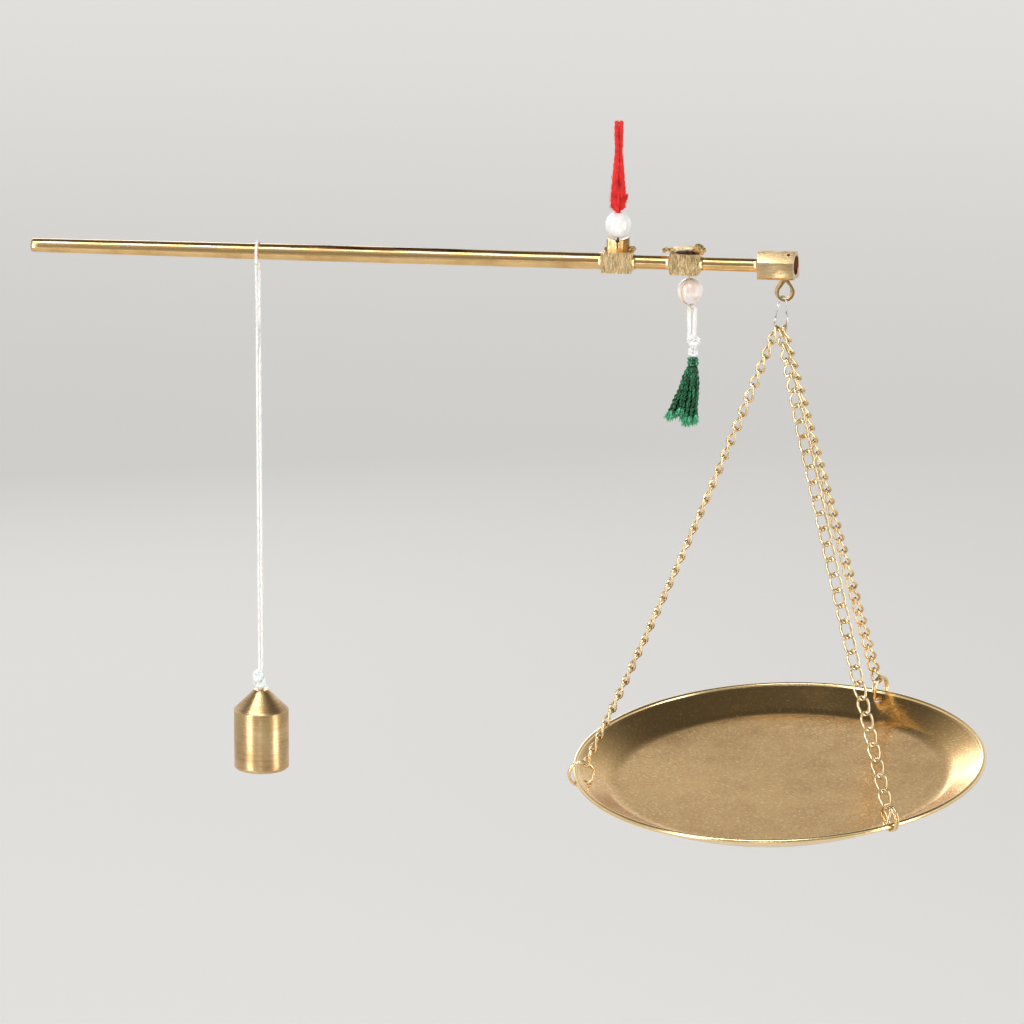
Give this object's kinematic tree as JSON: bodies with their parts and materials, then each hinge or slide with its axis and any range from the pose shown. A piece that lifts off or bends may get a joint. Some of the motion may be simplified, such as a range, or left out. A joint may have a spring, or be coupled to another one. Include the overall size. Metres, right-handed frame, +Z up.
{
  "type": "brass steelyard balance with one hanging pan",
  "caption": "Hand-held brass steelyard with a sliding weight on a thread, a dished pan on three chains, and beads, red and white thread and a green silk tassel",
  "frame": {"origin": "Top of the red thread, where the whole balance hangs from the hand", "axes": "X along the beam, positive towards the pan; Y away from the viewer; Z up"},
  "size_m": [0.2183, 0.0934, 0.1552],
  "materials": {
    "aged_brass": "worn",
    "filed_brass": "brushed",
    "pan_brass": "satin",
    "chain_brass": "polished",
    "brass_wire": "worn",
    "silver_wire": "worn",
    "white_glass": "polished",
    "warm_glass": "polished",
    "red_thread": "matte",
    "white_thread": "matte",
    "weight_cord": "matte",
    "pale_silk": "satin",
    "green_silk": "satin"
  },
  "bodies": {
    "hanging_cord": {"red_thread": "red_thread", "upper_bead": "white_glass"},
    "beam": {"beam_rod": "aged_brass", "upper_block": "filed_brass", "lower_block": "filed_brass", "solder_fillets": "aged_brass", "upper_post": "filed_brass", "cross_pin": "aged_brass", "saddle": "aged_brass", "staple": "brass_wire", "end_head": "filed_brass", "pan_eye": "filed_brass"},
    "weight_slider": {"weight_loop": "weight_cord"},
    "counterweight": {"weight_thread": "weight_cord", "weight_knot": "weight_cord", "weight_stem": "weight_cord", "counterweight": "aged_brass"},
    "lower_suspension": {"bead_wire": "brass_wire", "lower_bead": "warm_glass", "white_thread": "white_thread", "white_knot": "white_thread", "tassel_loop": "white_thread", "tassel_binding": "pale_silk", "green_tassel": "green_silk"},
    "hanger": {"hanger_loop": "silver_wire"},
    "pan": {"chain_left": "chain_brass", "chain_front": "chain_brass", "chain_rear": "chain_brass", "split_ring_left": "brass_wire", "split_ring_front": "brass_wire", "split_ring_rear": "brass_wire", "pan": "pan_brass"}
  },
  "joints": [
    {"name": "beam_tilt", "type": "hinge", "parent": "hanging_cord", "child": "beam", "pos_m": [0, 0, -0.02815], "axis": [0, 1, 0], "range_deg": [-10, 10]},
    {"name": "weight_slide", "type": "slide", "parent": "beam", "child": "weight_slider", "axis": [1, 0, 0], "range_m": [-0.049, 0.034]},
    {"name": "weight_swing", "type": "hinge", "parent": "weight_slider", "child": "counterweight", "pos_m": [-0.0815, 0, -0.03445], "axis": [0, 1, 0], "range_deg": [-10, 10]},
    {"name": "lower_swing", "type": "hinge", "parent": "beam", "child": "lower_suspension", "pos_m": [0.0163, 0, -0.03439], "axis": [0, 1, 0], "range_deg": [-4, 10]},
    {"name": "pan_swing", "type": "hinge", "parent": "beam", "child": "hanger", "pos_m": [0.0374, 0, -0.03852], "axis": [-0.3746, 0.9272, 0], "range_deg": [-10, 5]},
    {"name": "pan_sway", "type": "hinge", "parent": "hanger", "child": "pan", "pos_m": [0.03645, 0, -0.04697], "axis": [1, 0, 0], "range_deg": [-8, 8]}
  ]
}
